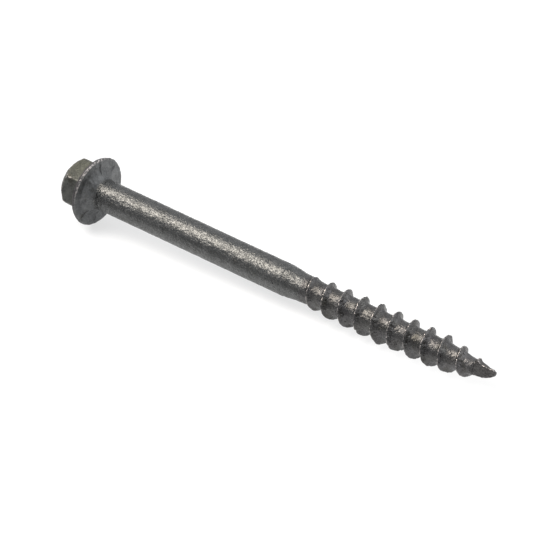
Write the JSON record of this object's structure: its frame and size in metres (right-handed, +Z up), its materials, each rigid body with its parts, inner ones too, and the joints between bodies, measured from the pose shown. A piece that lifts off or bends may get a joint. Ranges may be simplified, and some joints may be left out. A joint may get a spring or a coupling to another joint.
{
  "type": "hex washer head wood screw",
  "caption": "Hex head timber screw with an integral washer flange, a long plain shank, a coarse right-hand thread and a notched cutting point.",
  "frame": {"origin": "centre of the bearing face under the washer flange, on the screw's axis", "axes": "+X along the screw from the head to the tip, +Z up as the screw lies on its side"},
  "size_m": [0.1077, 0.0142, 0.0142],
  "materials": {
    "forged_zinc": "dull grey zinc over forged steel, slightly rough and mottled",
    "drawn_zinc": "dull grey zinc over drawn wire, finely hammered with a speckled sheen",
    "rolled_zinc": "dull grey zinc over rolled thread, bright along the crests",
    "cut_zinc": "darker zinc over the cut faces of the point"
  },
  "bodies": {
    "root": {"hex_head": "forged_zinc", "washer_flange": "forged_zinc", "under_head_neck": "forged_zinc", "plain_shank": "drawn_zinc", "shank_taper": "drawn_zinc", "threaded_shank": "rolled_zinc", "cutting_point": "cut_zinc"}
  },
  "joints": []
}
